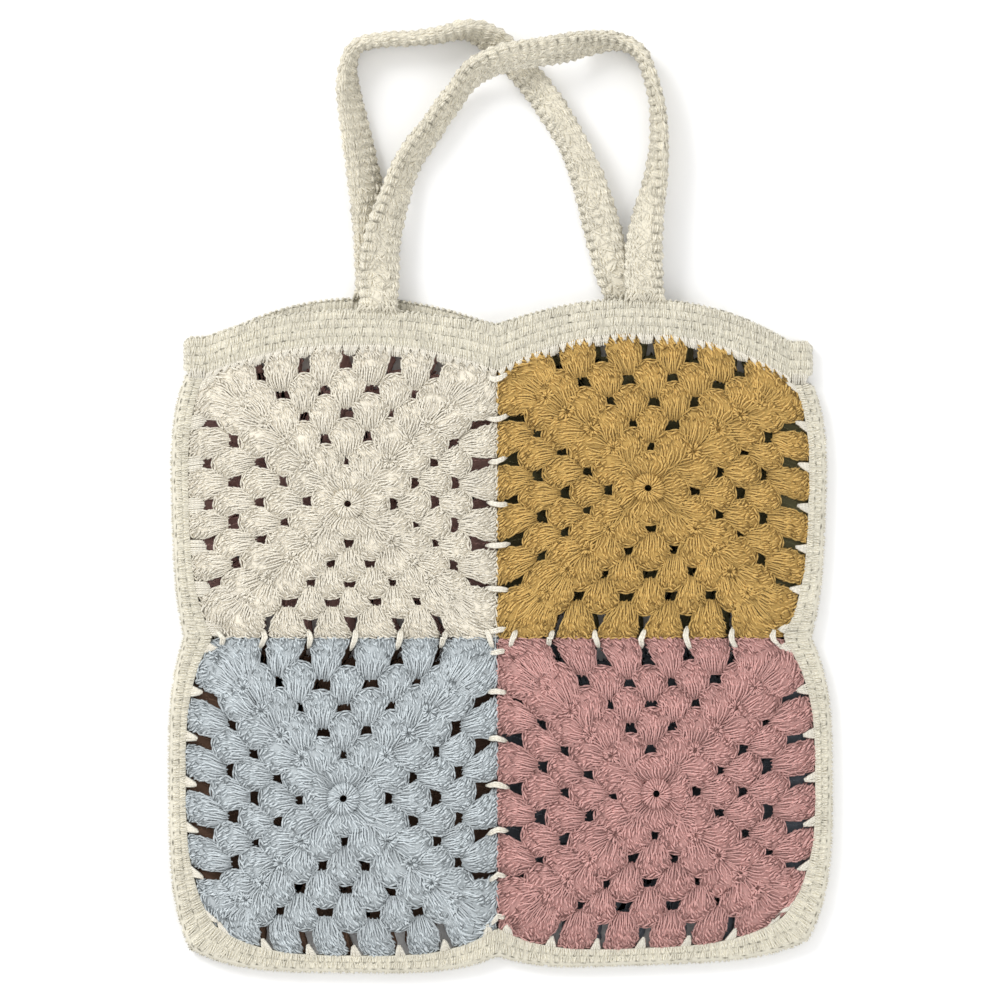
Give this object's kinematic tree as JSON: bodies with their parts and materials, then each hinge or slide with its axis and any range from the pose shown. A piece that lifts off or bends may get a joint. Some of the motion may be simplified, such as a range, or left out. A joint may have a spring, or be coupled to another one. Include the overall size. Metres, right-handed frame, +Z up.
{
  "type": "crochet bag",
  "caption": "Flat crocheted tote bag of granny squares with a cream edging, a rim band and long strap handles, lying on its back.",
  "frame": {"origin": "middle of the bag's bounding box, on the surface that the bag lies on", "axes": "+X across the bag to the right of its front, +Y from the bottom of the bag to its mouth and handles, +Z up through its front"},
  "size_m": [0.35, 0.5016, 0.03],
  "materials": {
    "cream_cotton": "matte crocheted cotton yarn",
    "mustard_cotton": "matte crocheted cotton yarn",
    "blue_cotton": "matte crocheted cotton yarn",
    "pink_cotton": "matte crocheted cotton yarn",
    "rose_cotton": "matte crocheted cotton yarn",
    "olive_cotton": "matte crocheted cotton yarn",
    "brown_cotton": "matte crocheted cotton yarn",
    "slate_cotton": "matte crocheted cotton yarn",
    "edging_cotton": "matte crocheted cotton yarn",
    "handle_cotton": "matte crocheted cotton yarn"
  },
  "bodies": {
    "root": {"front_square_cream": "cream_cotton", "front_square_mustard": "mustard_cotton", "front_square_blue": "blue_cotton", "front_square_pink": "pink_cotton", "back_square_rose": "rose_cotton", "back_square_olive": "olive_cotton", "back_square_brown": "brown_cotton", "back_square_slate": "slate_cotton", "side_edging": "edging_cotton", "rim_band": "edging_cotton", "front_handle": "handle_cotton", "back_handle": "handle_cotton"}
  },
  "joints": []
}
